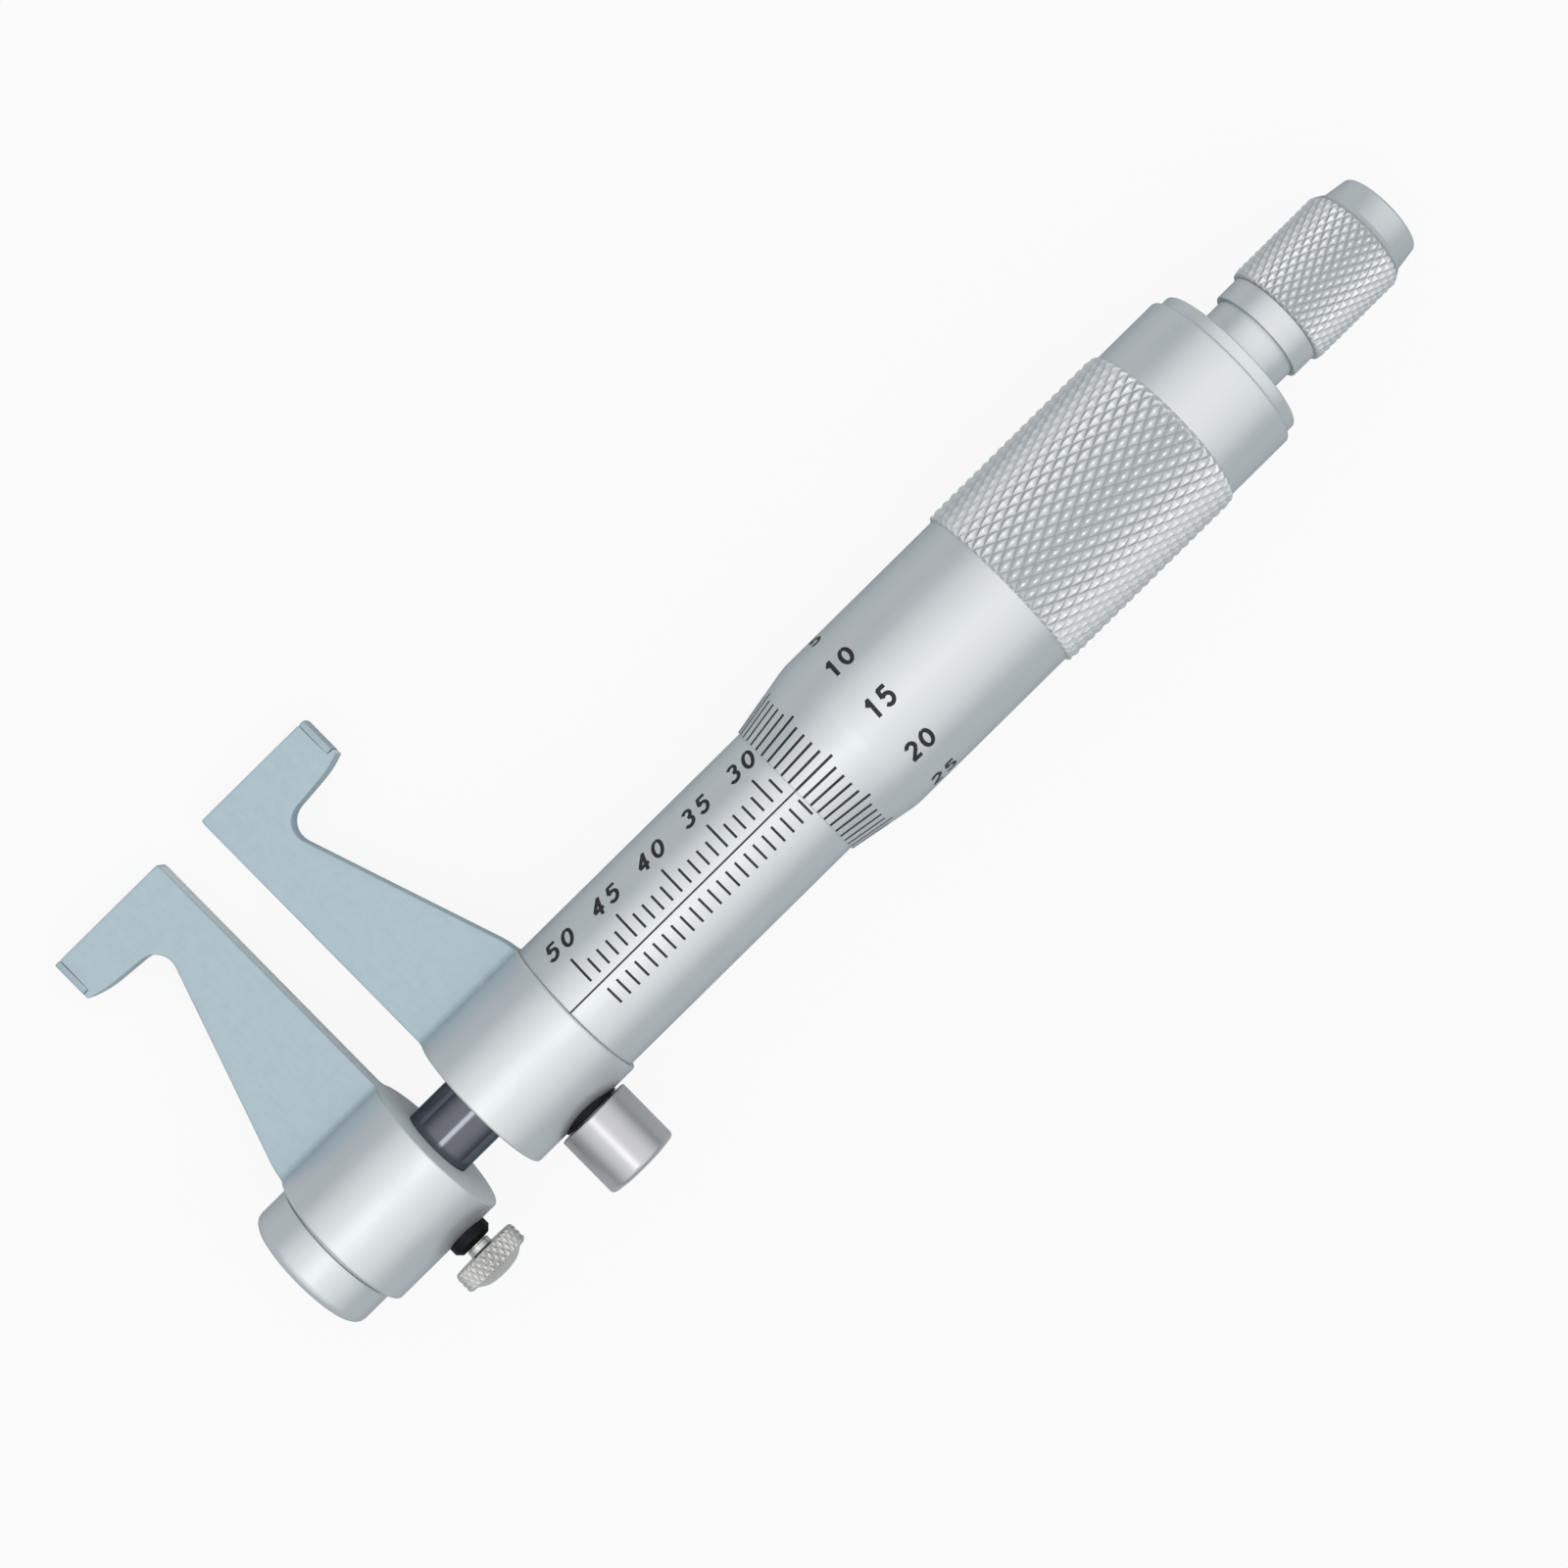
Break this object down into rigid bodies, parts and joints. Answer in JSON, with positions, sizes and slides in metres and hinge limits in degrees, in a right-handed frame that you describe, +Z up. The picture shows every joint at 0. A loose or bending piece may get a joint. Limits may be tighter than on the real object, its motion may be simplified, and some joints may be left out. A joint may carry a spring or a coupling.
{
  "type": "inside micrometer",
  "caption": "Caliper-jaw inside micrometer with a fixed and a sliding jaw, graduated sleeve, knurled thimble, ratchet stop, round lock knob and knurled clamp screw.",
  "frame": {"origin": "centre of the resting footprint, on the surface that the instrument lies on", "axes": "+X along the measuring axis towards the ratchet stop, +Y from the axis towards the jaw tips, which lie rolled down by twelve degrees, +Z up"},
  "size_m": [0.1212, 0.0444, 0.0162],
  "materials": {
    "jaw_steel": "matt ground steel",
    "carbide": "ground hard metal",
    "satin_chrome": "satin chrome, fine turned",
    "spindle_steel": "polished hardened steel",
    "black_steel": "blackened steel",
    "knob_steel": "satin turned steel",
    "inner_steel": "plain turned steel",
    "plug_brass": "plain turned brass",
    "spring_steel": "spring steel"
  },
  "bodies": {
    "instrument": {"fixed_jaw": "jaw_steel", "fixed_jaw_tip": "carbide", "barrel": "inner_steel", "guide_key": "inner_steel", "graduated_sleeve": "satin_chrome", "adjusting_nut": "inner_steel", "lock_bush": "black_steel"},
    "lock_pressure_piece": {"lock_plug": "plug_brass"},
    "lock_handle": {"lock_knob": "knob_steel"},
    "sliding_jaw": {"moving_jaw": "jaw_steel", "moving_jaw_tip": "carbide", "spindle": "spindle_steel", "end_cap": "satin_chrome", "thrust_disc": "inner_steel", "retaining_nut": "inner_steel", "clamp_bush": "black_steel"},
    "clamp_pressure_piece": {"clamp_plug": "plug_brass"},
    "clamp_handle": {"clamp_screw": "knob_steel"},
    "thimble_assembly": {"thimble": "satin_chrome", "measuring_screw": "inner_steel", "ratchet_body": "satin_chrome", "ratchet_pawl": "inner_steel", "ratchet_spring": "spring_steel", "stop_screw": "inner_steel"},
    "ratchet_handle": {"ratchet_collar": "satin_chrome", "ratchet_knob": "satin_chrome"}
  },
  "joints": [
    {"name": "jaw_slide", "type": "slide", "parent": "instrument", "child": "sliding_jaw", "axis": [-1, 0, 0], "range_m": [-0.00315, 0.02185]},
    {"name": "thimble_turn", "type": "hinge", "parent": "sliding_jaw", "child": "thimble_assembly", "pos_m": [0.01971, -0.0091, 0.00809], "axis": [-1, 0, 0], "range_deg": [-2268, 15732]},
    {"name": "ratchet_turn", "type": "hinge", "parent": "thimble_assembly", "child": "ratchet_handle", "pos_m": [0.05271, -0.0091, 0.00809], "axis": [-1, 0, 0], "continuous": true},
    {"name": "lock_plug_slide", "type": "slide", "parent": "instrument", "child": "lock_pressure_piece", "axis": [0, -0.9779, 0.2093], "range_m": [-0.000083333, 0.0005]},
    {"name": "lock_turn", "type": "hinge", "parent": "lock_pressure_piece", "child": "lock_handle", "pos_m": [-0.03529, -0.01887, 0.01018], "axis": [0, -0.9779, 0.2093], "range_deg": [-60, 360]},
    {"name": "clamp_plug_slide", "type": "slide", "parent": "sliding_jaw", "child": "clamp_pressure_piece", "axis": [0, -0.9779, 0.2093], "range_m": [0, 0.0004]},
    {"name": "clamp_turn", "type": "hinge", "parent": "clamp_pressure_piece", "child": "clamp_handle", "pos_m": [-0.04934, -0.0179, 0.00997], "axis": [0, -0.9779, 0.2093], "range_deg": [0, 360]}
  ],
  "couplings": [
    {"joint": "thimble_turn", "follows": "jaw_slide", "rad_per_m": 12566},
    {"joint": "lock_turn", "follows": "lock_plug_slide", "rad_per_m": 12566},
    {"joint": "clamp_turn", "follows": "clamp_plug_slide", "rad_per_m": 15708}
  ]
}
